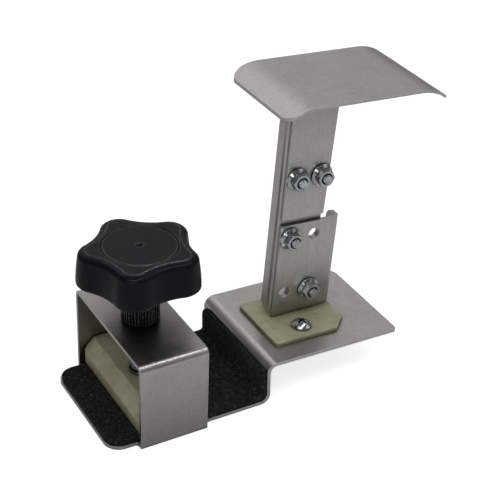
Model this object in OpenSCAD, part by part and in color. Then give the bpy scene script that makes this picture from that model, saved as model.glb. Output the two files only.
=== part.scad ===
// Clamp-on headphone hook: a sheet-metal arch with a screw clamp on a folded base plate,
// and a bolted post that carries a headband saddle.
// Origin: on the clamp screw's axis, at the underside of the base plate. +X runs from the
// clamp towards the shelf, +Y to the back, +Z up.

/* [Base plate] */
// Depth of the base plate, front to back
base_depth = 57; // [52:0.5:58.5]
// Thickness of the base plate and the clamp bracket
sheet = 1.5; // [1.2:0.1:2]
// Length of the lower deck to the left of the clamp screw
deck_left = 27; // [20:1:40]
// Distance from the clamp screw to the start of the shelf's flat
shelf_x = 49.3; // [46:0.1:60]
// Height of the shelf's top surface at the start of its flat
shelf_z = 19.5; // [16:0.5:30]
// Distance from the clamp screw to the shelf's right end
shelf_right = 109.8; // [100:0.1:130]
// Slope of the shelf, down to the right, in degrees
shelf_tilt = 1.4; // [0:0.1:3]
// Lean of the riser to the left, in degrees
riser_lean = 1.5; // [0:0.1:3]
// Inside radius of the two bends beside the riser
base_bend = 3; // [2:0.5:4]
// Radius of the deck's two left corners
deck_corner = 7; // [2:0.5:10]
// Thickness of the felt lining
felt_t = 1.75; // [1.5:0.05:2.5]

/* [Clamp] */
// Width of the clamp bracket along the deck
bracket_w = 30; // [26:1:36]
// Distance between the outer faces of the bracket's two walls
bracket_depth = 63.4; // [62:0.1:70]
// Height of the bracket
bracket_h = 39.85; // [38:0.05:46]
// Inside radius of the bracket's two top bends
bracket_bend = 1.4; // [1:0.1:3]
// Height of the pressure block
block_h = 10.7; // [10:0.1:11.5]
// Gap between the block and the felt when the clamp is closed
jaw_gap = 0.2; // [0.1:0.1:1]
// Diameter of the knob over its lobes
knob_d = 51.8; // [46:0.1:56]
// Height of the knob's lobed head
knob_h = 15.2; // [13:0.1:20]
// Diameter of the ribbed collar under the knob
collar_d = 16; // [14:0.5:18]
// Height of the ribbed collar
collar_h = 9.5; // [6:0.5:12]

/* [Post] */
// Distance from the clamp screw to the post's left edge at the shelf
post_x = 62.8; // [60:0.1:66]
// Lean of the post to the right, measured from square to the shelf, in degrees
post_lean = 1.8; // [0:0.1:4]
// Width of the lower bracket's front face
lower_w = 29.3; // [27:0.1:34]
// Height of the lower bracket above the shelf
lower_h = 46.7; // [46:0.1:48]
// Gap between the lower bracket and the upper plate
splice_gap = 2.8; // [1:0.1:4]
// Depth of the post's side flanges
flange_d = 8.5; // [7:0.1:12]

/* [Saddle] */
// Height of the saddle's flat top above the shelf
saddle_z = 111.6; // [104:0.1:125]
// Depth of the saddle, front to back
saddle_depth = 48.4; // [44:0.1:60]
// Thickness of the saddle's sheet
saddle_t = 1.2; // [1:0.1:1.5]
// Length of the saddle's flat middle
saddle_flat = 47.4; // [40:0.1:60]
// Distance from the post's left edge to the left end of the flat middle
saddle_left = -1.7; // [-6:0.1:0]

/* [Hidden] */
$fn = 64;

touch = 0.05;          // gap left between two pieces that lie on each other
bolt_play = 0.1;       // radial play of an M4 bolt in a washer or a nut
bend_steps = 10;       // flats that stand for one bend in folded sheet
arc_bite = 0.03;       // how far an arc runs past the edge that it meets
far = 200;             // longer than anything in the model

steel = [0.72, 0.70, 0.68];
zinc = [0.78, 0.80, 0.83];
nylon = [0.80, 0.80, 0.68];
felt_black = [0.09, 0.09, 0.10];
knob_black = [0.07, 0.07, 0.08];
brass = [0.78, 0.63, 0.34];

// Base
deck_top = sheet;
felt_top = deck_top + touch + felt_t;
riser_turn = 90 + riser_lean;
bend_x = shelf_x - (base_bend + sheet) * sin(shelf_tilt);          // centre of the top bend
bend_z = shelf_z - (base_bend + sheet) * cos(shelf_tilt);
riser_leg = (bend_z - sheet - base_bend + (2 * base_bend + sheet) * cos(riser_turn))
    / sin(riser_turn);
deck_leg = deck_left + bend_x - (2 * base_bend + sheet) * sin(riser_turn)
    - riser_leg * cos(riser_turn);
shelf_leg = (shelf_right - shelf_x) / cos(shelf_tilt);

// Bracket, welded along its two bottom edges to ears of the deck
wall_leg = bracket_h - sheet - bracket_bend;
roof_leg = bracket_depth - 2 * (sheet + bracket_bend);
wall_in = bracket_depth / 2 - sheet;               // inner face of a wall
shelf_corners = [2, 9];                            // radii at the front and the rear

// Clamp screw: M8, with a 6 mm tip that carries the pressure block
screw_r = 4;
tip_r = 3;
thread_pitch = 1.25;
thread_depth = 0.7;
run_fit = 0.05;                                    // radial running clearance
screw_hole = 4.3;                                  // radius of the bracket's screw hole
block_bottom = felt_top + jaw_gap;
block_top = block_bottom + block_h;
block_w = 27;
block_bevel = 5.2;
wall_play = 0.45;                                  // between the block and a wall
clip_pocket = 4.8;                                 // depth of the pocket under the block
clip_t = 1;
clip_groove = 0.4;
clip_r = 5.5;
thrust_t = 1;
thrust_r = 5;
shoulder_z = block_top + thrust_t;
tip_end = block_bottom + 1.6;
weld_nut_h = 6.5;
weld_nut_af = 13;

// Knob
collar_z = bracket_h + 0.25;
hub_z = collar_z + collar_h;
head_z = 59.7;
head_top = head_z + knob_h;
lobes = 5;
lobe_phase = 22;                                   // direction of the first lobe
lobe_r = 9;
waist_r = knob_d / 2 - 4.8;
cap_r = 15.2;
cap_t = 1.5;
insert_r = 6;
insert_base = head_z - 4;                          // inside the hub, below the head
insert_top = head_top - cap_t - 1.5;
screw_top = insert_top - 0.95;

// Shelf pad and its screw, in the shelf's own frame
pad_t = 1.6;
pad_size = [37.4, 33];
pad_pos = [5.2, -18.6];
pad_bevel = 7;
pad_screw_pos = [22.1, -10.8];
m4_r = 2;
m4_hole = 2.25;
m4_af = 7;
m4_pitch = 0.7;
m4_thread = 0.35;
pad_screw_len = 10;
foot_under = -2 * sheet - touch;                   // underside of the foot below the shelf
foot_bend = 0.8;
slot_play = 0.3;                                   // around the tongue in the shelf
pad_play = 0.15;                                   // around the tongue in the pad

// Post, in its own leaning frame
post_offset = (post_x - shelf_x) / cos(shelf_tilt);
tongue_w = 20.8;
foot_leg = 20;
upright_w = 20.2;
upright_bottom = 3.6;
upper_z = lower_h + splice_gap;
upper_w = [20.3, 21.8];                            // at the bottom and at the top
hole_x = [4.9, 16.8];
hole_z = [13.2, 40.4, 68.8];
spare_r = 2.6;
splices = [[1, 0], [0, 1], [0, 2], [1, 2]];        // holes that carry a bolt
saddle_under = saddle_z - saddle_t;
arm_tab = 16;
arm_top = saddle_under - touch;
arm_bend = 1;
upright_top = arm_top - sheet - arm_bend;          // stops below the arm's bend
saddle_mid = 2.8;                                  // saddle's middle, behind the front plates
left_lip = 8.2;                                    // lengths of the saddle's lips
right_lip = 6.3;
lip_turn = 8;                                      // fold of a lip
left_turn = 18;                                    // how far the left end curves down
right_turn = 24;
end_r = 24;
end_steps = 8;                                     // flats that stand for a curved end
end_trim = 0.05;
saddle_corners = [6, 7, 4, 8];                     // front left, rear left, front right, rear right
nut_flange_d = 10;
nut_h = 4.65;
washer_t = 0.8;
washer_r = 4.5;
stack_back = 2 * sheet + 2 * touch + washer_t;     // back of the washers, behind the upright
bolt_len = 10;

// Unit vector to the left of a heading
function left_of(a) = [-sin(a), cos(a)];

// Stations [point, heading] along the right-hand skin of a folded sheet
function skin(t, legs, p = [0, 0], a = 0, i = 0) =
    let (
        turn = legs[i][1],
        r = legs[i][2],
        reach = turn > 0 ? -t - r : r,
        end = p + legs[i][0] * [cos(a), sin(a)],
        centre = end - reach * left_of(a)
    )
    i == len(legs) - 1 ? [[p, a], [end, a]] : concat(
        [[p, a]],
        [for (k = [0:bend_steps - 1])
            [centre + reach * left_of(a + turn * k / bend_steps), a + turn * k / bend_steps]],
        skin(t, legs, centre + reach * left_of(a + turn), a + turn, i + 1)
    );

// Length along X of a saddle end that curves down by the given angle before its lip
function end_run(turn, lip) = (end_r + saddle_t) * sin(turn) + lip * cos(turn + lip_turn)
    - saddle_t * sin(turn + lip_turn) - end_trim;

// Point of a saddle end at radius r, down its curve by angle a
function on_curve(r, a) = r * [sin(a), cos(a)];

// Right-hand end of the saddle's profile, from its top skin round the lip to its underside,
// with the curve's centre at the origin
function saddle_end(turn, lip) =
    let (
        outer = end_r + saddle_t,
        dip = turn + lip_turn,
        crease = on_curve(outer, turn),
        tip = crease + lip * [cos(dip), -sin(dip)]
    )
    concat(
        [for (i = [0:end_steps]) on_curve(outer, turn * i / end_steps)],
        [
            tip, tip - on_curve(saddle_t, dip),
            crease - on_curve(saddle_t / cos(lip_turn / 2), turn + lip_turn / 2)
        ],
        [for (i = [end_steps - 1:-1:0]) on_curve(end_r, turn * i / end_steps)]
    );

// ---------------------------------------------------------------- drawing helpers

// Folded sheet seen on edge. Each leg is [length, turn, inside radius]; a positive turn
// folds the sheet to the left. The first point is on the sheet's right-hand skin.
module folded(t, legs) {
    line = skin(t, legs);
    polygon(concat(
        [for (s = line) s[0]],
        [for (i = [len(line) - 1:-1:0]) line[i][0] + t * left_of(line[i][1])]
    ));
}

// What is cut away to round the corner at the origin of a plate in the +X +Y quadrant.
// The arc crosses the two edges at a slight angle, so it leaves no sliver.
module corner_waste(r) {
    difference() {
        translate([-1, -1]) square(r + 1);
        translate([r - arc_bite, r - arc_bite]) circle(r);
    }
}

// Extrudes an outline in X and Z along Y, centred on y = mid
module along_y(depth, mid = 0) {
    translate([0, mid, 0]) rotate([90, 0, 0])
        linear_extrude(depth, center = true) children();
}

// Extrudes an outline in Y and Z along X, centred on x = mid
module along_x(width, mid = 0) {
    translate([mid, 0, 0]) rotate([90, 0, 90])
        linear_extrude(width, center = true) children();
}

// Regular hexagonal prism across flats af
module hex(af, h) {
    cylinder(h = h, r = af / sqrt(3), $fn = 6);
}

// Chamfered hexagon: the prism's corners cut by a 30 degree cone at its top
module nut_body(af, h) {
    corner = af / sqrt(3);
    intersection() {
        hex(af, h);
        rotate_extrude()
            polygon([
                [0, 0], [corner + 0.1, 0], [corner + 0.1, h - 0.45],
                [af / 2, h], [0, h]
            ]);
    }
}

// Threaded rod as a stack of V grooves, from z = 0 to h
module thread_rod(r, h, pitch, depth) {
    turns = floor((h - pitch / 2) / pitch);
    rotate_extrude()
        polygon(concat(
            [[0, 0], [r - depth, 0]],
            [for (i = [0:turns - 1])
                for (p = [[0, depth / 3], [pitch / 2, 0]])
                    [r - depth + (p[1] == 0 ? depth : 0), pitch / 4 + i * pitch + p[0]]],
            [[r - depth, pitch / 4 + turns * pitch], [r - depth, h], [0, h]]
        ));
}

// Places children in the shelf's frame: origin where its flat top starts
module on_shelf() {
    translate([shelf_x, 0, shelf_z]) rotate([0, shelf_tilt, 0]) children();
}

// Places children in the post's frame: origin at its left edge on the shelf
module on_post() {
    on_shelf() translate([post_offset, 0, 0]) rotate([0, post_lean, 0]) children();
}

// Puts children at each listed [column, row] hole of the post, looking along +Y
module at_holes(cells) {
    for (c = cells)
        translate([hole_x[c[0]], 0, hole_z[c[1]]]) rotate([-90, 0, 0]) children();
}

// ---------------------------------------------------------------- base and clamp frame

module base_plate() {
    ear = wall_in - touch - base_depth / 2;
    color(steel) difference() {
        union() {
            translate([-deck_left, 0, 0])
                along_y(base_depth)
                    folded(sheet, [
                        [deck_leg, riser_turn, base_bend],
                        [riser_leg, -riser_turn - shelf_tilt, base_bend],
                        [shelf_leg, 0, 0]
                    ]);
            // an ear under each wall of the bracket, filleted into the deck
            for (side = [0, 1]) mirror([0, side, 0])
                translate([0, base_depth / 2, 0]) linear_extrude(sheet) difference() {
                    translate([-bracket_w / 2 - ear, -0.1])
                        square([bracket_w + 2 * ear, ear + 0.1]);
                    for (x = [-1, 1])
                        translate([x * (bracket_w / 2 + ear), ear]) circle(ear + arc_bite);
                }
        }
        for (side = [0, 1]) mirror([0, side, 0])
            translate([-deck_left, -base_depth / 2, -1])
                linear_extrude(far) corner_waste(deck_corner);
        translate([shelf_right, base_depth / 2, -1])
            rotate(180) linear_extrude(far) corner_waste(shelf_corners[1]);
        translate([shelf_right, -base_depth / 2, -1])
            rotate(90) linear_extrude(far) corner_waste(shelf_corners[0]);
        on_shelf() {
            translate([pad_screw_pos[0], pad_screw_pos[1], -far / 2])
                cylinder(h = far, r = m4_hole);
            // slot of the tongue, longer at the front for the foot's bend
            translate([post_offset - slot_play, -foot_bend - 2 * slot_play, -far / 2])
                cube([tongue_w + 2 * slot_play, sheet + foot_bend + 3 * slot_play, far]);
        }
    }
}

// Felt lining: lies on the deck and turns up the riser
module felt_pad() {
    inset = 0.5;
    rise = riser_leg + 1.2;
    rear_top = 5;
    color(felt_black) difference() {
        translate([-deck_left + inset, 0, deck_top + touch])
            along_y(base_depth - 2 * inset)
                folded(felt_t, [
                    [deck_leg - inset, riser_turn, base_bend - touch - felt_t],
                    [rise, 0, 0]
                ]);
        for (side = [0, 1]) mirror([0, side, 0])
            translate([-deck_left + inset, inset - base_depth / 2, 0])
                linear_extrude(far) corner_waste(deck_corner - inset);
        translate([0, base_depth / 2 - inset, deck_top + base_bend + rise])
            rotate([0, 90, 0]) linear_extrude(far) mirror([0, 1]) corner_waste(rear_top);
    }
}

module clamp_bracket() {
    color(steel) difference() {
        translate([0, bracket_depth / 2, 0])
            along_x(bracket_w)
                rotate(90) folded(sheet, [
                    [wall_leg, 90, bracket_bend],
                    [roof_leg, 90, bracket_bend],
                    [wall_leg, 0, 0]
                ]);
        translate([0, 0, bracket_h - 2 * sheet]) cylinder(h = 3 * sheet, r = screw_hole);
    }
}

module weld_nut() {
    color(zinc) translate([0, 0, bracket_h - sheet - touch - weld_nut_h])
        difference() {
            hex(weld_nut_af, weld_nut_h);
            translate([0, 0, -1]) cylinder(h = weld_nut_h + 2, r = screw_r + run_fit);
        }
}

// ---------------------------------------------------------------- spindle and jaw

module clamp_screw() {
    clip_z = block_bottom + clip_pocket - touch - clip_t;
    color(zinc) {
        translate([0, 0, shoulder_z + touch])
            thread_rod(screw_r, screw_top - shoulder_z - touch, thread_pitch, thread_depth);
        difference() {
            translate([0, 0, tip_end]) cylinder(h = shoulder_z + 0.5 - tip_end, r = tip_r);
            translate([0, 0, clip_z - touch])
                difference() {
                    cylinder(h = clip_t + 2 * touch, r = screw_r);
                    cylinder(h = clip_t + 2 * touch, r = tip_r - clip_groove);
                }
        }
    }
}

// Lobed outline made of tangent arcs; inset shrinks it evenly
module knob_outline(inset = 0) {
    step = 360 / lobes;
    lobe_at = knob_d / 2 - lobe_r;
    c = cos(step / 2);
    waist_arc = (waist_r * waist_r + lobe_at * lobe_at - 2 * lobe_at * waist_r * c
        - lobe_r * lobe_r) / (2 * lobe_r - 2 * waist_r + 2 * lobe_at * c);
    waist_at = waist_r + waist_arc;
    // where a lobe's arc meets the next waist's arc
    meet = [lobe_at, 0] + lobe_r / (lobe_r + waist_arc)
        * (waist_at * [cos(step / 2), sin(step / 2)] - [lobe_at, 0]);
    rotate(lobe_phase) {
        for (i = [0:lobes - 1]) rotate(i * step) {
            translate([lobe_at, 0]) circle(lobe_r - inset);
            difference() {
                polygon([
                    [0, 0], [lobe_at, 0], meet,
                    norm(meet) * [cos(step / 2), sin(step / 2)],
                    norm(meet) * [cos(step - atan2(meet[1], meet[0])),
                        sin(step - atan2(meet[1], meet[0]))],
                    lobe_at * [cos(step), sin(step)]
                ]);
                rotate(step / 2) translate([waist_at, 0]) circle(waist_arc + inset, $fn = 128);
            }
        }
    }
}

module knob_grip() {
    wall = 3;
    draft = 1;
    round_top = 3;
    pocket = 9;
    hub_r = [7.4, 9.5];                            // of the hub, and of its root in the head
    passage_play = 0.2;
    rim = knob_d / 2 - draft - round_top;          // where the rounding of the top starts
    color(knob_black) difference() {
        union() {
            translate([0, 0, head_z]) intersection() {
                linear_extrude(knob_h) knob_outline();
                rotate_extrude() {
                    polygon([
                        [0, 0], [knob_d / 2, 0], [knob_d / 2 - draft, knob_h - round_top],
                        [rim, knob_h - round_top], [rim, knob_h], [0, knob_h]
                    ]);
                    translate([rim, knob_h - round_top]) intersection() {
                        circle(round_top);
                        square(round_top);
                    }
                }
            }
            translate([0, 0, hub_z + touch]) cylinder(h = head_z - hub_z, r = hub_r[0]);
        }
        // hollow underside around the hub
        translate([0, 0, head_z - 1])
            linear_extrude(pocket + 1) difference() {
                knob_outline(wall);
                circle(hub_r[1]);
            }
        // seat of the cap
        translate([0, 0, head_top - cap_t]) cylinder(h = 2 * cap_t, r = cap_r + 0.15);
        // seat of the bush and passage of the screw
        translate([0, 0, insert_base])
            cylinder(h = insert_top + touch - insert_base, r = insert_r + touch);
        cylinder(h = insert_base + 1, r = screw_r + passage_play);
    }
}

module knob_cap() {
    edge = 0.35;
    dimple_r = 2.6;
    dimple_depth = 0.7;
    color(knob_black) translate([0, 0, head_top - cap_t + touch])
        difference() {
            rotate_extrude() polygon([
                [0, 0], [cap_r, 0], [cap_r, cap_t - edge], [cap_r - edge, cap_t - touch],
                [0, cap_t - touch]
            ]);
            translate([0, 0, cap_t + dimple_r - dimple_depth]) sphere(dimple_r);
        }
}

module knob_insert() {
    color(brass) difference() {
        translate([0, 0, insert_base + touch])
            cylinder(h = insert_top - insert_base - touch, r = insert_r);
        cylinder(h = screw_top + 2 * touch, r = screw_r + run_fit);
    }
}

// Locking collar with straight ribs, screwed up against the knob's hub
module knurled_collar() {
    ribs = 36;
    rib_depth = 0.7;
    chamfer = 1;
    color(knob_black) translate([0, 0, collar_z])
        difference() {
            intersection() {
                linear_extrude(collar_h) polygon([
                    for (i = [0:2 * ribs - 1])
                        (collar_d / 2 - (i % 2) * rib_depth)
                            * [cos(180 * i / ribs), sin(180 * i / ribs)]
                ]);
                rotate_extrude() polygon([
                    [0, 0], [collar_d / 2 + 0.2 - chamfer, 0], [collar_d / 2 + 0.2, chamfer],
                    [collar_d / 2 + 0.2, collar_h - chamfer],
                    [collar_d / 2 + 0.2 - chamfer, collar_h], [0, collar_h]
                ]);
            }
            translate([0, 0, -1]) cylinder(h = collar_h + 2, r = screw_r + run_fit);
        }
}

// Pressure block: spans the arch, bevelled along its two long top edges
module pressure_block() {
    length = 2 * (wall_in - wall_play);
    half = block_w / 2;
    edge = 0.6;
    corner = 3;
    pocket_r = 7;
    color(nylon) difference() {
        along_y(length) polygon([
            [-half + edge, block_bottom], [half - edge, block_bottom],
            [half, block_bottom + edge], [half, block_top - block_bevel],
            [half - block_bevel, block_top], [-half + block_bevel, block_top],
            [-half, block_top - block_bevel], [-half, block_bottom + edge]
        ]);
        for (side = [0, 1], end = [0, 1])
            mirror([side, 0, 0]) mirror([0, end, 0])
                translate([-half, -length / 2, 0]) linear_extrude(far) corner_waste(corner);
        translate([0, 0, block_bottom - 1]) cylinder(h = block_h + 2, r = tip_r + run_fit);
        translate([0, 0, block_bottom - 1]) cylinder(h = clip_pocket + 1, r = pocket_r);
    }
}

module thrust_washer() {
    color(zinc) translate([0, 0, block_top + touch / 2])
        difference() {
            cylinder(h = thrust_t - touch / 2, r = thrust_r);
            translate([0, 0, -1]) cylinder(h = thrust_t + 2, r = tip_r + bolt_play);
        }
}

// Open ring sprung into the groove near the screw's tip, inside the block's pocket
module retaining_clip() {
    mouth = 3.8;
    color(steel) translate([0, 0, block_bottom + clip_pocket - touch - clip_t])
        linear_extrude(clip_t - touch) difference() {
            circle(clip_r);
            circle(tip_r - clip_groove + touch);
            translate([0, -mouth / 2]) square([far, mouth]);
        }
}

// ---------------------------------------------------------------- shelf pad

module shelf_pad() {
    corner = 1.5;
    color(nylon) on_shelf() translate([0, 0, touch])
        linear_extrude(pad_t - touch) difference() {
            translate(pad_pos) difference() {
                square(pad_size);
                translate([pad_size[0] - pad_bevel, 0]) polygon([
                    [0, -1], [pad_bevel + 1, -1], [pad_bevel + 1, pad_bevel], [pad_bevel, pad_bevel],
                    [0, 0]
                ]);
                translate([pad_size[0] - pad_bevel, pad_size[1]]) polygon([
                    [0, 1], [0, 0], [pad_bevel, -pad_bevel], [pad_bevel + 1, -pad_bevel],
                    [pad_bevel + 1, 1]
                ]);
                corner_waste(corner);
                translate([0, pad_size[1]]) rotate(-90) corner_waste(corner);
            }
            translate([post_offset - pad_play, -pad_play])
                square([tongue_w + 2 * pad_play, sheet + 2 * pad_play]);
            translate(pad_screw_pos) circle(m4_hole);
        }
}

// M4 pan-head screw with a cross recess
module pad_screw() {
    head_r = 4.4;
    head_h = 2.9;
    dome_r = 5.6;
    slot_w = 1;
    slot_half = [2.5, 0.8];                        // half length at the top and at the bottom
    slot_depth = [0.3, 2];                         // where a slot's ends start, and its floor
    color(zinc) on_shelf()
        translate([pad_screw_pos[0], pad_screw_pos[1], pad_t + touch]) {
            difference() {
                rotate_extrude() intersection() {
                    square([head_r, head_h]);
                    translate([0, head_h - dome_r]) circle(dome_r);
                }
                for (a = [20, 110]) rotate(a)
                    translate([0, 0, head_h]) along_y(slot_w)
                        polygon([
                            [-slot_half[0], 1], [-slot_half[0], -slot_depth[0]],
                            [-slot_half[1], -slot_depth[1]], [slot_half[1], -slot_depth[1]],
                            [slot_half[0], -slot_depth[0]], [slot_half[0], 1]
                        ]);
            }
            translate([0, 0, -pad_screw_len])
                thread_rod(m4_r, pad_screw_len + 0.5, m4_pitch, m4_thread);
        }
}

module pad_washer() {
    color(zinc) on_shelf()
        translate([pad_screw_pos[0], pad_screw_pos[1], foot_under - touch - washer_t])
            washer();
}

module pad_nut() {
    height = 3.2;
    color(zinc) on_shelf()
        translate([pad_screw_pos[0], pad_screw_pos[1], foot_under - 2 * touch - washer_t])
            rotate([180, 0, 0]) difference() {
                nut_body(m4_af, height);
                translate([0, 0, -1]) cylinder(h = height + 2, r = m4_r + bolt_play);
            }
}

// ---------------------------------------------------------------- post and saddle

// Front plate with a flange at its right; its tongue passes down to a foot under the shelf
module lower_bracket() {
    flange_bend = 1;
    flange_corner = 4;
    foot_inset = 0.4;                              // the foot is this much narrower
    stub_top = 0.4;                                // the foot's upright stub, above the shelf
    stub_leg = stub_top - foot_under - sheet - foot_bend;
    // the edge beside the tongue clears the pad, and rises to the right
    edge_z = pad_t + 0.1 + tongue_w * sin(post_lean);
    edge_rise = 1.5;
    color(steel) {
        on_post() difference() {
            linear_extrude(lower_h)
                folded(sheet, [
                    [lower_w - sheet - flange_bend, 90, flange_bend],
                    [flange_d - sheet - flange_bend, 0, 0]
                ]);
            along_y(far) polygon([
                [tongue_w, -1], [tongue_w, edge_z],
                [lower_w + 1, edge_z + edge_rise], [lower_w + 1, -1]
            ]);
            translate([0, flange_d, lower_h]) rotate([0, 90, 0])
                linear_extrude(far) mirror([0, 1]) corner_waste(flange_corner);
            at_holes([for (c = [0, 1], r = [0, 1]) [c, r]]) plate_hole();
        }
        on_shelf() difference() {
            translate([0, -foot_bend - foot_leg, foot_under])
                along_x(tongue_w - foot_inset, post_offset + tongue_w / 2)
                    folded(sheet, [[foot_leg, 90, foot_bend], [stub_leg, 0, 0]]);
            translate([pad_screw_pos[0], pad_screw_pos[1], foot_under - 1])
                cylinder(h = sheet + 2, r = m4_hole);
        }
    }
}

// Full-height angle behind the two front plates, with its flange on the left
module upright() {
    bend = 0.8;
    depth = flange_d - 2.3;
    bevel = 3.6;                                   // cut off the flange's lower corner
    color(steel) on_post() difference() {
        translate([-sheet, sheet + touch + depth, upright_bottom]) rotate(-90)
            linear_extrude(upright_top - upright_bottom)
                folded(sheet, [
                    [depth - sheet - bend, 90, bend],
                    [upright_w - bend, 0, 0]
                ]);
        translate([0, sheet + touch + depth, upright_bottom])
            along_x(far) polygon([[-bevel, -1], [1, -1], [1, bevel]]);
        at_holes([for (c = [0, 1], r = [0:2]) [c, r]]) plate_hole();
    }
}

// Arm of the saddle: a tapered plate whose top folds back under the saddle
module upper_plate() {
    color(steel) on_post() difference() {
        intersection() {
            translate([0, sheet, upper_z])
                along_x(far)
                    rotate(90) folded(sheet, [
                        [arm_top - sheet - arm_bend - upper_z, -90, arm_bend],
                        [arm_tab, 0, 0]
                    ]);
            along_y(far) polygon([
                [0, upper_z], [upper_w[0], upper_z], [upper_w[1], arm_top], [0, arm_top]
            ]);
        }
        at_holes([[0, 2], [1, 2]]) plate_hole();
    }
}

// Headband rest: flat in the middle, with both ends curved down into short lips
module saddle() {
    left_skin = saddle_end(left_turn, left_lip);
    x0 = saddle_left - end_run(left_turn, left_lip);
    x1 = saddle_left + saddle_flat + end_run(right_turn, right_lip);
    y0 = saddle_mid - saddle_depth / 2;
    y1 = saddle_mid + saddle_depth / 2;
    color(steel) on_post() intersection() {
        translate([saddle_left, saddle_mid, saddle_under]) along_y(saddle_depth + 2)
            polygon(concat(
                [for (p = saddle_end(right_turn, right_lip)) [saddle_flat + p[0], p[1] - end_r]],
                [for (i = [len(left_skin) - 1:-1:0]) [-left_skin[i][0], left_skin[i][1] - end_r]]
            ));
        linear_extrude(far) difference() {
            translate([x0, y0]) square([x1 - x0, y1 - y0]);
            translate([x0, y0]) corner_waste(saddle_corners[0]);
            translate([x0, y1]) rotate(-90) corner_waste(saddle_corners[1]);
            translate([x1, y0]) rotate(90) corner_waste(saddle_corners[2]);
            translate([x1, y1]) rotate(180) corner_waste(saddle_corners[3]);
        }
    }
}

// ---------------------------------------------------------------- splice fasteners

// Hole through a post plate, drawn along the hole's axis
module plate_hole() {
    translate([0, 0, -2]) cylinder(h = 3 * sheet + 4, r = spare_r);
}

module washer() {
    difference() {
        cylinder(h = washer_t, r = washer_r);
        translate([0, 0, -1]) cylinder(h = washer_t + 2, r = m4_r + bolt_play);
    }
}

// M4 hex bolts, put in from behind the upright
module splice_bolts() {
    head_h = 2.8;
    overlap = 0.2;                                 // of the shank into the head
    color(zinc) on_post() at_holes(splices) {
        translate([0, 0, stack_back + touch]) nut_body(m4_af, head_h);
        translate([0, 0, stack_back + touch + overlap - bolt_len])
            thread_rod(m4_r, bolt_len, m4_pitch, m4_thread);
    }
}

module splice_washers() {
    color(zinc) on_post() at_holes(splices)
        translate([0, 0, stack_back - washer_t]) washer();
}

// M4 flange nuts on the front of the post
module splice_nuts() {
    flange_r = nut_flange_d / 2;
    flange_t = [0.7, 1.6];                         // at its rim, and where it meets the hexagon
    mouth_r = 2.7;
    mouth_depth = 0.5;
    color(zinc) on_post() at_holes(splices) translate([0, 0, -touch]) rotate([180, 0, 0])
        difference() {
            union() {
                nut_body(m4_af, nut_h);
                rotate_extrude() polygon([
                    [0, 0], [flange_r, 0], [flange_r, flange_t[0]],
                    [m4_af / 2 + touch, flange_t[1]], [0, flange_t[1]]
                ]);
            }
            translate([0, 0, -1]) cylinder(h = nut_h + 2, r = m4_r + bolt_play);
            translate([0, 0, nut_h - mouth_depth]) rotate_extrude() polygon([
                [0, 0], [m4_r + bolt_play, 0], [mouth_r, mouth_depth + touch],
                [0, mouth_depth + touch]
            ]);
        }
}

base_plate();
felt_pad();
clamp_bracket();
weld_nut();
clamp_screw();
knob_grip();
knob_cap();
knob_insert();
knurled_collar();
pressure_block();
thrust_washer();
retaining_clip();
shelf_pad();
pad_screw();
pad_washer();
pad_nut();
lower_bracket();
upright();
upper_plate();
saddle();
splice_bolts();
splice_washers();
splice_nuts();
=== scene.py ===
import math

import bmesh
import bpy
from mathutils import Matrix, Vector, noise


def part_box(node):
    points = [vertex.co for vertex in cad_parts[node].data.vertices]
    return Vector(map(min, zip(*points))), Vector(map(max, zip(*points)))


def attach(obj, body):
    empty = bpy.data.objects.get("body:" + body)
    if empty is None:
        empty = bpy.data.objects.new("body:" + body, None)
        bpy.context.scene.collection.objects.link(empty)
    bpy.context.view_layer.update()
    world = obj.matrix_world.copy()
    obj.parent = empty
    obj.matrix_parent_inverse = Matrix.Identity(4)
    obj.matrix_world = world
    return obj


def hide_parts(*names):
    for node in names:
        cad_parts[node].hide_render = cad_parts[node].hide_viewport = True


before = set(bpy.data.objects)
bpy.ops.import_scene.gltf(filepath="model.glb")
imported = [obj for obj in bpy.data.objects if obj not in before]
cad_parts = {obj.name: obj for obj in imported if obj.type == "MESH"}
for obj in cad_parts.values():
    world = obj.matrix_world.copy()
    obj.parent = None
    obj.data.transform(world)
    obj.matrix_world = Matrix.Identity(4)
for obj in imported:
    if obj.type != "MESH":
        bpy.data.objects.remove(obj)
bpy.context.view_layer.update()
MM = 0.001
WHITE = (1.0, 1.0, 1.0)


# ------------------------------------------------------------------ node helpers

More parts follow.
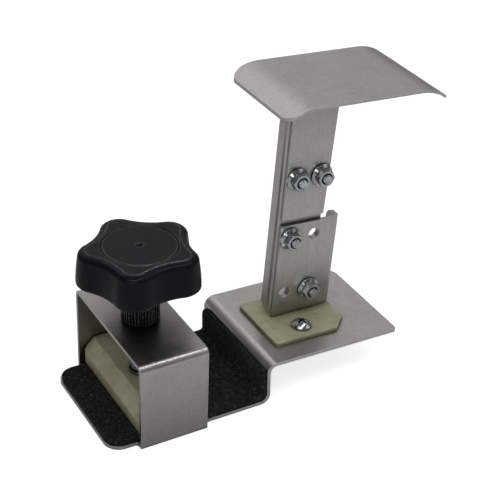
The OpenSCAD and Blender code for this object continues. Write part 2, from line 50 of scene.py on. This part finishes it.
class Nodes:
    """A small wrapper that builds one material's node tree."""

    def __init__(self, name):
        self.material = bpy.data.materials.new(name)
        self.material.use_nodes = True
        self.tree = self.material.node_tree
        self.tree.nodes.clear()
        self.out = self.tree.nodes.new("ShaderNodeOutputMaterial")
        self.bsdf = self.tree.nodes.new("ShaderNodeBsdfPrincipled")
        self.link(self.bsdf.outputs[0], self.out.inputs["Surface"])
        self.coords = self.tree.nodes.new("ShaderNodeTexCoord").outputs["Object"]

    def link(self, source, target):
        self.tree.links.new(source, target)

    def feed(self, value, socket):
        """Sets a socket to a number, vector or colour, or links a node's output to it."""
        if isinstance(value, (int, float)):
            socket.default_value = value
        elif isinstance(value, tuple):
            socket.default_value = (*value, 1) if socket.type == "RGBA" else value
        else:
            self.link(value, socket)

    def node(self, kind, **values):
        """Makes a node; each value goes to the input of that name, or else to the setting."""
        made = self.tree.nodes.new("ShaderNode" + kind)
        for key, value in values.items():
            if key in made.inputs:
                made.inputs[key].default_value = value
            else:
                setattr(made, key, value)
        return made

    def mapped(self, scale, rotation=(0, 0, 0)):
        mapping = self.node("Mapping", Scale=scale, Rotation=rotation)
        self.link(self.coords, mapping.inputs["Vector"])
        return mapping.outputs[0]

    def noise(self, scale, detail=4.0, roughness=0.6, vector=None):
        made = self.node("TexNoise", Scale=scale, Detail=detail, Roughness=roughness)
        self.link(vector or self.coords, made.inputs["Vector"])
        return made.outputs["Fac"]

    def ramp(self, source, stops):
        """A colour ramp; a stop's colour may be one number, for a grey."""
        made = self.node("ValToRGB")
        ramp = made.color_ramp
        while len(ramp.elements) < len(stops):
            ramp.elements.new(0.5)
        for element, (place, colour) in zip(ramp.elements, stops):
            element.position = place
            if not isinstance(colour, tuple):
                colour = (colour, colour, colour)
            element.color = (*colour, 1)
        self.link(source, made.inputs["Fac"])
        return made.outputs["Color"]

    def span(self, source, low, high, start=0.0, end=1.0):
        """Maps start..end onto low..high, clamped."""
        made = self.node("MapRange")
        made.inputs["From Min"].default_value = start
        made.inputs["From Max"].default_value = end
        made.inputs["To Min"].default_value = low
        made.inputs["To Max"].default_value = high
        self.link(source, made.inputs["Value"])
        return made.outputs["Result"]

    def mix(self, factor, a, b, mode="MIX"):
        """Mixes two colours. The node has a socket of each name per data type, so the type
        picks the one that is used."""
        made = self.node("Mix", data_type="RGBA", blend_type=mode)
        for name, kind, value in (("Factor", "VALUE", factor), ("A", "RGBA", a), ("B", "RGBA", b)):
            self.feed(value, next(s for s in made.inputs if s.name == name and s.type == kind))
        return next(s for s in made.outputs if s.type == "RGBA")

    def darken(self, colour, tone):
        return self.mix(1.0, colour, tone, "MULTIPLY")

    def math(self, operation, a, b=0.0):
        made = self.node("Math", operation=operation)
        self.feed(a, made.inputs[0])
        self.feed(b, made.inputs[1])
        return made.outputs[0]

    def bump(self, height, strength, distance, normal=None):
        made = self.node("Bump", Strength=strength, Distance=distance)
        self.link(height, made.inputs["Height"])
        if normal is not None:
            self.link(normal, made.inputs["Normal"])
        return made.outputs[0]

    def bevel(self, radius):
        return self.node("Bevel", samples=6, Radius=radius).outputs[0]

    def shade(self, reach, low, start=0.0, end=1.0):
        """Painted shade: a brightness factor that falls to low in corners and under things nearer than
        reach.
        """
        hidden = self.node("AmbientOcclusion", samples=6, Distance=reach)
        return self.span(hidden.outputs["AO"], low, 1.0, start, end)

    def edge(self, radius, low=0.02, high=0.25):
        """1 along edges, 0 on flats: where the bevelled normal leaves the true one."""
        dot = self.node("VectorMath", operation="DOT_PRODUCT")
        self.link(self.bevel(radius), dot.inputs[0])
        self.link(self.node("NewGeometry").outputs["Normal"], dot.inputs[1])
        away = self.math("SUBTRACT", 1.0, dot.outputs["Value"])
        return self.span(away, 0.0, 1.0, low, high)

    def set(self, **sockets):
        """Feeds the shader's inputs, with _ for the spaces in their names."""
        for key, value in sockets.items():
            self.feed(value, self.bsdf.inputs[key.replace("_", " ")])
        return self.material


def scaled(colour, by):
    """A colour made darker or lighter, kept within 1."""
    return tuple(min(1, c * by) for c in colour)


# ------------------------------------------------------------------ materials

# scale of the noise along X, Y and Z: it is stretched along the brushing
ACROSS = (40, 2600, 2600)
UPWARD = (2600, 2600, 40)
GREY_RAMP = [(0.0, 0.0), (1.0, 1.0)]


def brushed(name, grain, reach=0.022, hollow_shade_low=0.50, open_at=0.9):
    """Brushed stainless sheet with painted shade. It darkens where things stand nearer than reach, down
    to the darkest level given, and keeps its full brightness where at least the share open_at of the
    view out is free. Its edges are painted lighter, partly wear and partly a painted highlight."""
    steel = (0.60, 0.585, 0.56)
    edge_wear_and_highlight = (0.86, 0.85, 0.83)
    n = Nodes(name)
    fine = n.noise(1.0, 6.0, 0.7, n.mapped(grain))
    streak = n.noise(1.0, 4.0, 0.65, n.mapped(tuple(g * 0.28 for g in grain)))
    broad = n.noise(70.0, 4.0, 0.65)
    mottle = n.noise(520.0, 4.0, 0.7)
    marks = n.noise(900.0, 2.0)
    colour = n.mix(n.span(broad, 0.0, 1.0, 0.35, 0.65), scaled(steel, 0.86), steel)
    colour = n.mix(n.span(fine, 0.0, 0.6, 0.3, 0.7), colour, scaled(steel, 1.16))
    colour = n.mix(n.span(streak, 0.0, 0.4, 0.52, 0.75), colour, scaled(steel, 0.70))
    colour = n.mix(n.span(mottle, 0.0, 0.45, 0.5, 0.72), colour, scaled(steel, 0.72))
    spots = n.ramp(marks, [(0.0, 0.30), (0.27, 0.55), (0.33, 1.0)])
    colour = n.mix(0.8, colour, spots, "MULTIPLY")
    # painted highlight along the edges, together with their wear
    colour = n.mix(n.math("MULTIPLY", n.edge(0.0005), 0.55), colour, edge_wear_and_highlight)
    # painted shade: darker in creases and where other parts stand near
    crease_shade = n.shade(0.0022, 0.22, 0.15, 0.85)
    hollow_shade = n.shade(reach, hollow_shade_low, 0.1, open_at)
    colour = n.darken(colour, n.ramp(n.math("MULTIPLY", crease_shade, hollow_shade), GREY_RAMP))
    roughness = n.math("ADD", n.span(fine, 0.27, 0.42, 0.3, 0.7), n.span(broad, -0.04, 0.06, 0.3, 0.7))
    normal = n.bump(fine, 0.16, 0.00006, n.bevel(0.00035))
    return n.set(Base_Color=colour, Metallic=1.0, Roughness=roughness, Normal=normal)


def plated(name):
    """Bright zinc plating, with painted shade in its creases and edges painted bright, partly wear and
    partly a painted highlight.
    """
    plating = (0.66, 0.72, 0.74)
    edge_wear_and_highlight = (0.98, 0.99, 0.99)
    n = Nodes(name)
    grain = n.noise(1100.0, 4.0)
    cloud = n.noise(420.0, 3.0)
    colour = n.mix(n.span(cloud, 0, 1, 0.35, 0.65), scaled(plating, 0.62), plating)
    # painted highlight along the edges, together with their wear
    colour = n.mix(n.math("MULTIPLY", n.edge(0.00028), 0.85), colour, edge_wear_and_highlight)
    # painted shade: dark in creases and where other parts stand near
    crease_shade = n.shade(0.0009, 0.06, 0.35, 0.95)
    hollow_shade = n.shade(0.006, 0.16, 0.25, 0.95)
    colour = n.darken(colour, n.ramp(n.math("MULTIPLY", crease_shade, hollow_shade), GREY_RAMP))
    normal = n.bump(grain, 0.16, 0.00005, n.bevel(0.00018))
    roughness = n.span(grain, 0.10, 0.24, 0.3, 0.7)
    return n.set(Base_Color=colour, Metallic=1.0, Roughness=roughness, Normal=normal)


def nylon_material(name):
    """Natural nylon: cream, paler along its edges from wear and a painted highlight, with painted shade
    in dark olive where it lies hidden.
    """
    dull, cream = (0.44, 0.42, 0.27), (0.58, 0.55, 0.38)
    scuffed, stained, edge_wear_and_highlight = (0.66, 0.64, 0.48), (0.27, 0.25, 0.14), (0.80, 0.79, 0.62)
    # colours of the painted shade, darkest and halfway
    shaded_olive, half_shaded_tan = (0.10, 0.09, 0.04), (0.55, 0.53, 0.42)
    n = Nodes(name)
    cloud = n.noise(80.0, 4.0, 0.65)
    grain = n.noise(1500.0, 3.0)
    colour = n.mix(n.span(cloud, 0, 1, 0.35, 0.65), dull, cream)
    scuffs = n.noise(1.0, 5.0, 0.7, n.mapped((400, 60, 300)))
    colour = n.mix(n.span(scuffs, 0.0, 0.4, 0.5, 0.75), colour, scuffed)
    stains = n.noise(300.0, 4.0, 0.7)
    colour = n.mix(n.span(stains, 0.0, 0.5, 0.52, 0.72), colour, stained)
    # painted highlight along the edges, together with their wear
    colour = n.mix(n.math("MULTIPLY", n.edge(0.0004), 0.35), colour, edge_wear_and_highlight)
    # painted shade: dark olive in creases and where other parts stand near
    crease_shade = n.shade(0.005, 0.22, 0.25, 0.9)
    hollow_shade = n.shade(0.018, 0.42, 0.1, 0.85)
    tone = n.ramp(n.math("MULTIPLY", crease_shade, hollow_shade), [(0.0, shaded_olive), (0.5, half_shaded_tan), (1.0, 1.0)])
    colour = n.darken(colour, tone)
    normal = n.bump(grain, 0.12, 0.00006, n.bevel(0.0003))
    n.bsdf.subsurface_method = "RANDOM_WALK"
    return n.set(Base_Color=colour, Roughness=n.span(grain, 0.36, 0.52, 0.3, 0.7), Normal=normal,
                 Subsurface_Weight=0.2, Subsurface_Radius=(1.0, 0.9, 0.5), Subsurface_Scale=0.0008)


def black_plastic(name):
    """Moulded black plastic, smoother and shinier along its edges, with a painted highlight on them as
    a grey line.
    """
    dark, light, highlight_grey = (0.0030, 0.0037, 0.0055), (0.0058, 0.0066, 0.0090), (0.13, 0.135, 0.145)
    n = Nodes(name)
    grain = n.noise(2600.0, 3.0)
    cloud = n.noise(90.0, 3.0)
    colour = n.mix(n.span(cloud, 0, 1, 0.3, 0.7), dark, light)
    scratch = n.noise(1.0, 5.0, 0.75, n.mapped((900, 120, 500), (0.2, 0.4, 0.9)))
    roughness = n.math("ADD", n.span(cloud, 0.20, 0.30, 0.3, 0.7), n.span(scratch, 0.0, 0.12, 0.4, 0.7))
    rim = n.edge(0.0011, 0.008, 0.09)
    # painted highlight: a grey line along the edges
    line = n.math("MULTIPLY", n.edge(0.0005, 0.004, 0.03), 0.6)
    colour = n.mix(line, colour, highlight_grey)
    roughness = n.math("MULTIPLY", roughness, n.span(rim, 1.0, 0.5))
    normal = n.bump(grain, 0.05, 0.00005, n.bevel(0.0002))
    return n.set(Base_Color=colour, Roughness=roughness, Normal=normal,
                 Specular_IOR_Level=n.span(rim, 0.16, 1.0))


def felt_material(name):
    """Pressed black felt with pale fibres, grey along its rim from wear and a painted highlight."""
    black, charcoal, fibre_grey = (0.003, 0.0032, 0.004), (0.014, 0.014, 0.015), (0.11, 0.11, 0.115)
    dusty, clumped = (0.018, 0.018, 0.019), (0.075, 0.075, 0.078)
    specked, edge_wear_and_highlight = (0.26, 0.26, 0.27), (0.16, 0.16, 0.165)
    n = Nodes(name)
    fibres = n.noise(1.0, 5.0, 0.8, n.mapped((1150, 300, 600), (0.3, 0.5, 0.7)))
    cross = n.noise(1.0, 5.0, 0.8, n.mapped((300, 1150, 600), (0.2, -0.4, 1.3)))
    clump = n.noise(620.0, 5.0, 0.75)
    speck = n.noise(1900.0, 2.0, 0.5)
    cloud = n.noise(130.0, 3.0)
    web = n.math("MAXIMUM", fibres, cross)
    colour = n.ramp(web, [(0.47, black), (0.58, charcoal), (0.70, fibre_grey)])
    colour = n.mix(n.span(cloud, 0.0, 0.35, 0.45, 0.7), colour, dusty)
    colour = n.mix(n.span(clump, 0.0, 0.6, 0.52, 0.68), colour, clumped)
    colour = n.mix(n.span(speck, 0.0, 0.6, 0.62, 0.74), colour, specked)
    # painted highlight along the rim, together with its wear
    colour = n.mix(n.math("MULTIPLY", n.edge(0.0012), 0.35), colour, edge_wear_and_highlight)
    normal = n.bump(n.math("ADD", web, clump), 0.9, 0.0006)
    return n.set(Base_Color=colour, Roughness=0.96, Normal=normal, Specular_IOR_Level=0.10,
                 Sheen_Weight=0.05, Sheen_Roughness=0.5)


def metal(name, tint, rough, edge_highlight):
    """Plain machined metal with painted shade in its creases; the last argument is the colour painted
    along its edges, partly wear and partly a painted highlight.
    """
    n = Nodes(name)
    grain = n.noise(700.0, 4.0)
    colour = n.mix(n.span(grain, 0, 1, 0.3, 0.7), scaled(tint, 0.82), tint)
    # painted highlight along the edges, together with their wear
    colour = n.mix(n.math("MULTIPLY", n.edge(0.0003, 0.01, 0.15), 0.8), colour, edge_highlight)
    # painted shade in creases and where other parts stand near
    colour = n.darken(colour, n.ramp(n.shade(0.0012, 0.25, 0.2, 0.9), GREY_RAMP))
    roughness = n.span(grain, rough, rough + 0.15, 0.3, 0.7)
    normal = n.bump(grain, 0.1, 0.00005, n.bevel(0.00015))
    return n.set(Base_Color=colour, Metallic=1.0, Roughness=roughness, Normal=normal)


# the last three arguments of each brushed sheet set its painted shade: its reach, its darkest level,
# and how open a place must be to stay at full brightness
clamp_steel = brushed("steel_brushed_clamp", ACROSS, 0.05, 0.14, 1.0)
plate_steel = brushed("steel_brushed_x", ACROSS)
post_steel = brushed("steel_brushed_z", UPWARD, 0.030, 0.40, 1.0)
zinc = plated("zinc_plated")
nylon = nylon_material("nylon_cream")
knob_black = black_plastic("knob_black")
felt_black = felt_material("felt_black")
# the last colour of each metal is painted along its edges, partly wear and partly a painted highlight;
# on the collar's ribs it makes painted glints
collar_black = metal("collar_blackened", (0.030, 0.032, 0.036), 0.16, (0.62, 0.66, 0.70))
clip_steel = metal("spring_steel", (0.42, 0.42, 0.43), 0.30, (0.7, 0.7, 0.7))
brass = metal("brass", (0.72, 0.54, 0.25), 0.25, (0.9, 0.75, 0.45))

# the screws, bolts, nuts and washers are all zinc plated
FINISH = {
    "base_plate": plate_steel, "clamp_bracket": clamp_steel, "saddle": plate_steel,
    "lower_bracket": post_steel, "upright": post_steel, "upper_plate": post_steel,
    "pressure_block": nylon, "shelf_pad": nylon,
    "knob_grip": knob_black, "knob_cap": knob_black, "knurled_collar": collar_black,
    "retaining_clip": clip_steel, "knob_insert": brass, "felt_pad": felt_black,
}
for name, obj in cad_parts.items():
    obj.data.materials.clear()
    obj.data.materials.append(FINISH.get(name, zinc))
    obj.data.polygons.foreach_set("material_index", [0] * len(obj.data.polygons))


# ------------------------------------------------------------------ mesh helpers

def add_piece(name, bm, material, node, body):
    """Makes a smooth object of bm that stands for a CAD node and rides on its body."""
    mesh = bpy.data.meshes.new(name)
    bmesh.ops.recalc_face_normals(bm, faces=bm.faces)
    bm.to_mesh(mesh)
    bm.free()
    mesh.materials.append(material)
    mesh.polygons.foreach_set("use_smooth", [True] * len(mesh.polygons))
    obj = bpy.data.objects.new(name, mesh)
    bpy.context.scene.collection.objects.link(obj)
    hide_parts(node)
    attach(obj, body)


def closed_loft(bm, rings):
    """Joins rings of equal length with quads, in order and round to the first again."""
    rows = [[bm.verts.new(p) for p in ring] for ring in rings]
    for a, b in zip(rows, rows[1:] + rows[:1]):
        for i in range(len(a)):
            j = (i + 1) % len(a)
            bm.faces.new((a[i], a[j], b[j], b[i]))


# ------------------------------------------------------------------ knob

LOBES = 5
LOBE_PHASE = math.radians(22)     # of the first lobe, from +X
KNOB_R = 25.9 * MM                # to the tip of a lobe
LOBE_R = 9 * MM                   # of a lobe's own arc
WAIST_R = 21.1 * MM               # to the bottom of a waist
OUTLINE_POINTS = 300


def knob_profile():
    """Points and outward normals round the knob's lobed outline, at its base."""
    step = 2 * math.pi / LOBES
    half_step = step / 2
    lobe_at = KNOB_R - LOBE_R
    # the waist's arc is tangent to the lobes on both sides of it
    waist_arc_r = (WAIST_R ** 2 + lobe_at ** 2 - 2 * lobe_at * WAIST_R * math.cos(half_step)
                   - LOBE_R ** 2) / (2 * LOBE_R - 2 * WAIST_R + 2 * lobe_at * math.cos(half_step))
    lobe_centre = Vector((lobe_at, 0))
    waist_way = Vector((math.cos(half_step), math.sin(half_step)))
    waist_centre = (WAIST_R + waist_arc_r) * waist_way
    towards = (waist_centre - lobe_centre).normalized()
    meet_angle = math.atan2(towards.y, towards.x)
    start = math.atan2(-towards.y, -towards.x)
    end = math.atan2(-waist_way.y, -waist_way.x)
    sweep = (end - start + math.pi) % (2 * math.pi) - math.pi
    half = OUTLINE_POINTS // LOBES // 2
    lobe_n = half // 2
    waist_n = half - lobe_n
    one_lobe = []
    for i in range(-lobe_n, lobe_n + 1):
        a = meet_angle * i / lobe_n
        normal = Vector((math.cos(a), math.sin(a)))
        one_lobe.append((lobe_centre + LOBE_R * normal, normal))
    for i in range(1, 2 * waist_n):
        a = start + sweep * i / waist_n
        normal = -Vector((math.cos(a), math.sin(a)))
        one_lobe.append((waist_centre - waist_arc_r * normal, normal))
    outline = []
    for k in range(LOBES):
        turn = Matrix.Rotation(LOBE_PHASE + k * step, 2)
        outline += [(turn @ p, turn @ normal) for p, normal in one_lobe]
    return outline


def build_knob():
    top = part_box("knob_grip")[1].z
    cap_low, cap_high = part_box("knob_cap")
    cap_r = cap_high.x
    collar_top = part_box("knurled_collar")[1].z
    outline = knob_profile()

    def ring(inset, z):
        return [Vector((p.x - n.x * inset, p.y - n.y * inset, z)) for p, n in outline]

    def circle(radius, z):
        ways = [p.normalized() for p, _ in outline]
        return [Vector((way.x * radius, way.y * radius, z)) for way in ways]

    def between(a, b, share):
        return [p.lerp(q, share) for p, q in zip(a, b)]

    height = 15.2 * MM
    base = top - height
    draft, edge_r, foot_r = 1.0 * MM, 2.6 * MM, 0.9 * MM
    panel, ledge, soft = 0.35 * MM, 0.5 * MM, 0.3 * MM    # raised top panel, and the step up to it
    foot_h = foot_r * 1.2
    side_h = height - panel - edge_r - foot_h
    over = [ring(foot_r, base), ring(foot_r * 0.45, base + foot_r * 0.2),
            ring(foot_r * 0.1, base + foot_r * 0.62), ring(0, base + foot_h)]
    side_rings = 6
    for i in range(1, side_rings + 1):
        share = i / side_rings
        over.append(ring(draft * share ** 1.6, base + foot_h + side_h * share))
    # the edge's arc stops before it lies flat, at 8 of the 11 steps of a quarter turn
    for i in range(1, 9):
        a = math.pi / 2 * i / 11
        over.append(ring(draft + edge_r * (1 - math.cos(a)),
                         top - panel - edge_r + edge_r * math.sin(a)))
    # a ledge, then a soft step up to the raised top panel: two corners, each a quadratic curve
    step_in = draft + edge_r + ledge
    for corner, before, after in (
            ((step_in, top - panel), (-soft, 0), (soft * 0.5, soft)),
            ((step_in + soft, top), (-soft * 0.5, -soft), (soft, 0))):
        for i in range(5):
            t = i / 4
            a, b = (1 - t) ** 2, t ** 2
            over.append(ring(corner[0] + a * before[0] + b * after[0],
                             corner[1] + a * before[1] + b * after[1]))
    # the seat for the cap
    rim = over[-1]
    seat_edge = circle(cap_r + 0.45 * MM, top)
    over += [between(rim, seat_edge, share) for share in (0.25, 0.6, 0.9)]
    bore, seat_floor = 6.05 * MM, cap_low.z - 0.05 * MM
    over += [seat_edge, circle(cap_r + 0.25 * MM, top - 0.25 * MM),
             circle(cap_r + 0.2 * MM, seat_floor), circle(bore + 4 * MM, seat_floor)]
    # underside: rim, pocket wall, pocket roof, hub and bore
    wall, hub_r, roof = 3.2 * MM, 9.5 * MM, base + 9 * MM
    neck_r, neck_low = 7.4 * MM, collar_top + 0.05 * MM
    under = [ring(foot_r, base), ring(2.6 * MM, base), ring(3.0 * MM, base + 0.4 * MM),
             ring(wall, roof), between(ring(wall, roof), circle(hub_r, roof), 0.5),
             circle(hub_r, roof), circle(9.3 * MM, base + 0.3 * MM), circle(9.0 * MM, base),
             circle(7.6 * MM, base), circle(neck_r, base - 0.2 * MM),
             circle(neck_r, collar_top + 0.4 * MM), circle(7.0 * MM, neck_low),
             circle(bore, neck_low), circle(bore, seat_floor)]
    # one closed loft: down the bore, out over the underside, up the side and back to the seat
    bm = bmesh.new()
    closed_loft(bm, under[:0:-1] + over)
    add_piece("knob_head", bm, knob_black, "knob_grip", "spindle")


# ------------------------------------------------------------------ felt lining

def build_felt():
    """A sheet from the deck's left end up the riser, drawn as stations along its lower skin."""
    low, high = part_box("felt_pad")
    thick, bend_r, lean = 1.75 * MM, 1.2 * MM, math.radians(1.5)
    outer = bend_r + thick
    heading = math.pi / 2 + lean
    centre = Vector((high.x - outer, low.z + outer))
    length = (high.z - centre.y) / math.sin(heading)
    deck_steps, bend_steps, riser_steps, rows = 64, 8, 14, 84
    stations = []
    for i in range(deck_steps):
        stations.append((Vector((low.x + (centre.x - low.x) * i / deck_steps, low.z)), Vector((0, 1))))
    for i in range(bend_steps + 1):
        a = heading * i / bend_steps
        left = Vector((-math.sin(a), math.cos(a)))
        stations.append((centre - outer * left, left))
    start, left = stations[-1]
    along = Vector((math.cos(heading), math.sin(heading)))
    for i in range(1, riser_steps + 1):
        stations.append((start + along * length * i / riser_steps, left))
    last = len(stations) - 1
    corner, top_corner = 6.5 * MM, 5 * MM

    def rounding(radius, away):
        """How far a rounded corner cuts in, at a distance from the end of the sheet."""
        return radius - math.sqrt(max(0.0, radius ** 2 - (radius - away) ** 2))

    def limits(x, z):
        """How far the felt reaches in Y at one station: rounded at both of the deck's left
        corners, and at the riser's top rear one."""
        y0, y1 = low.y, high.y
        if x - low.x < corner:
            cut = rounding(corner, x - low.x)
            y0 += cut
            y1 -= cut
        if high.z - z < top_corner and x > centre.x:
            y1 -= rounding(top_corner, high.z - z)
        return y0, y1

    def fuzz(x, y, z):
        """Unevenness of the upper skin, in three sizes of lump."""
        q = Vector((x, y, z)) * 1000     # in mm
        lumps = ((1.9, 0.10), (0.35, 0.10), (4.3, 0.05))
        return sum(noise.noise(q * scale) * height for scale, height in lumps) * MM

    rim_w, rim_drop = 0.7 * MM, 0.45 * MM
    wave = 0.10                          # of the cut border, in and out, in mm
    bm = bmesh.new()
    under, over = [], []
    for grid in (under, over):
        for i, (p, left) in enumerate(stations):
            y0, y1 = limits(p.x, p.y)
            line = []
            for j in range(rows + 1):
                y = y0 + (y1 - y0) * j / rows
                to_edge = min(i * (centre.x - low.x) / deck_steps, (last - i) * length / riser_steps,
                              y - y0, y1 - y)
                drop = rim_drop * max(0.0, 1 - to_edge / rim_w) ** 2
                h = drop * 0.4
                if grid is over:
                    h = thick + fuzz(p.x, y, p.y) - 0.04 * MM - drop
                shift = 0.0
                if j in (0, rows):
                    shift = noise.noise(Vector((i * 0.35, j * 0.31, 3.0))) * wave * MM
                line.append(bm.verts.new((p.x + left.x * h, y + shift, p.y + left.y * h)))
            grid.append(line)
    for grid in (under, over):
        for i in range(last):
            for j in range(rows):
                bm.faces.new((grid[i][j], grid[i + 1][j], grid[i + 1][j + 1], grid[i][j + 1]))
    border = [(i, 0) for i in range(last + 1)] + [(last, j) for j in range(1, rows + 1)]
    border += [(i, rows) for i in range(last - 1, -1, -1)] + [(0, j) for j in range(rows - 1, 0, -1)]
    for (i, j), (k, m) in zip(border, border[1:] + border[:1]):
        bm.faces.new((under[i][j], under[k][m], over[k][m], over[i][j]))
    add_piece("felt_lining", bm, felt_black, "felt_pad", "frame")


build_knob()
build_felt()


# ------------------------------------------------------------------ shading of the CAD nodes

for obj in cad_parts.values():
    if not obj.hide_render:
        obj.data.polygons.foreach_set("use_smooth", [True] * len(obj.data.polygons))
        obj.data.set_sharp_from_angle(angle=math.radians(30))


# ------------------------------------------------------------------ floor, light, camera

def build_floor():
    """A pale floor. It glows for the camera only, so it looks white and lights nothing."""
    half = 3.0
    mesh = bpy.data.meshes.new("floor")
    mesh.from_pydata([(-half, -half, 0), (half, -half, 0), (half, half, 0), (-half, half, 0)],
                     [], [(0, 1, 2, 3)])
    floor = bpy.data.objects.new("floor", mesh)
    floor.location = (0, 0, -0.2 * MM)
    n = Nodes("floor_pale")
    seen = n.node("LightPath").outputs["Is Camera Ray"]
    mesh.materials.append(n.set(
        Base_Color=(0.85, 0.85, 0.85), Roughness=0.9, Specular_IOR_Level=0.1,
        Emission_Color=WHITE, Emission_Strength=n.math("MULTIPLY", seen, 0.74)))
    bpy.context.scene.collection.objects.link(floor)


def build_world():
    """A dim sky with two soft bright places. The camera itself sees plain white."""
    world = bpy.data.worlds.new("studio")
    bpy.context.scene.world = world
    world.use_nodes = True
    nodes, links = world.node_tree.nodes, world.node_tree.links
    nodes.clear()
    coords = nodes.new("ShaderNodeTexCoord")

    def sky_lobe(direction, start, end, low, high):
        """Brightness that rises from low to high as the view turns towards one direction."""
        dot = nodes.new("ShaderNodeVectorMath")
        dot.operation = "DOT_PRODUCT"
        dot.inputs[1].default_value = Vector(direction).normalized()
        links.new(coords.outputs["Generated"], dot.inputs[0])
        span = nodes.new("ShaderNodeMapRange")
        span.interpolation_type = "SMOOTHSTEP"
        for key, value in (("From Min", start), ("From Max", end), ("To Min", low), ("To Max", high)):
            span.inputs[key].default_value = value
        links.new(dot.outputs["Value"], span.inputs["Value"])
        return span.outputs["Result"]

    output = nodes.new("ShaderNodeOutputWorld")
    lit, seen = (nodes.new("ShaderNodeBackground") for _ in range(2))
    mix = nodes.new("ShaderNodeMixShader")
    path = nodes.new("ShaderNodeLightPath")
    both = nodes.new("ShaderNodeMath")
    both.operation = "ADD"
    links.new(sky_lobe((0.22, 0.72, 0.63), 0.60, 1.0, 0.12, 0.53), both.inputs[0])
    links.new(sky_lobe((-0.8, -0.3, 0.5), 0.3, 1.0, 0.0, 0.05), both.inputs[1])
    links.new(both.outputs[0], lit.inputs["Strength"])
    for background in (lit, seen):
        background.inputs["Color"].default_value = (*WHITE, 1)
    seen.inputs["Strength"].default_value = 1.0
    links.new(path.outputs["Is Camera Ray"], mix.inputs[0])
    links.new(lit.outputs[0], mix.inputs[1])
    links.new(seen.outputs[0], mix.inputs[2])
    links.new(mix.outputs[0], output.inputs["Surface"])


def area(name, place, target, width, height, power):
    """A rectangular light at place, facing target."""
    light = bpy.data.lights.new(name, "AREA")
    light.shape = "RECTANGLE"
    light.size, light.size_y, light.energy = width, height, power
    obj = bpy.data.objects.new(name, light)
    obj.location = place
    obj.rotation_euler = (Vector(target) - Vector(place)).to_track_quat("-Z", "Y").to_euler()
    bpy.context.scene.collection.objects.link(obj)


def build_camera():
    lens = bpy.data.cameras.new("camera")
    lens.lens = 97.2
    lens.sensor_width = 36.0
    lens.shift_x = -0.0435
    lens.shift_y = 0.0049
    lens.clip_start = 0.01
    azimuth, elevation, roll = (math.radians(a) for a in (31.64, 31.94, 2.96))
    aim, distance = Vector((0.05703, -0.0067, 0.05946)), 0.56064
    back = Vector((-math.sin(azimuth) * math.cos(elevation),
                   -math.cos(azimuth) * math.cos(elevation), math.sin(elevation)))
    level_right = Vector((math.cos(azimuth), -math.sin(azimuth), 0))
    level_up = back.cross(level_right)
    right = level_right * math.cos(roll) + level_up * math.sin(roll)
    up = level_up * math.cos(roll) - level_right * math.sin(roll)
    camera = bpy.data.objects.new("camera", lens)
    rows = [(right[i], up[i], back[i], aim[i] + back[i] * distance) for i in range(3)]
    camera.matrix_world = Matrix(rows + [(0, 0, 0, 1)])
    bpy.context.scene.collection.objects.link(camera)
    bpy.context.scene.camera = camera
    bpy.context.scene.view_settings.view_transform = "Standard"


build_floor()
build_world()
middle = (0.045, 0, 0.05)             # of the hook
area("key", (-0.45, -0.35, 0.85), middle, 0.5, 0.5, 1.0)
area("fill", (0.75, -0.45, 0.55), middle, 0.6, 0.5, 0.5)
area("top", (0.1, 0.72, 0.80), middle, 0.5, 0.25, 0.2)
# narrow lights, for the highlights along bends and rims
area("strip", (0.2, -0.32, 0.92), (0.02, 0, 0.06), 1.3, 0.07, 2.4)
area("front", (-0.5, -0.85, 0.32), (0, 0, 0.06), 0.8, 0.05, 1.0)
build_camera()
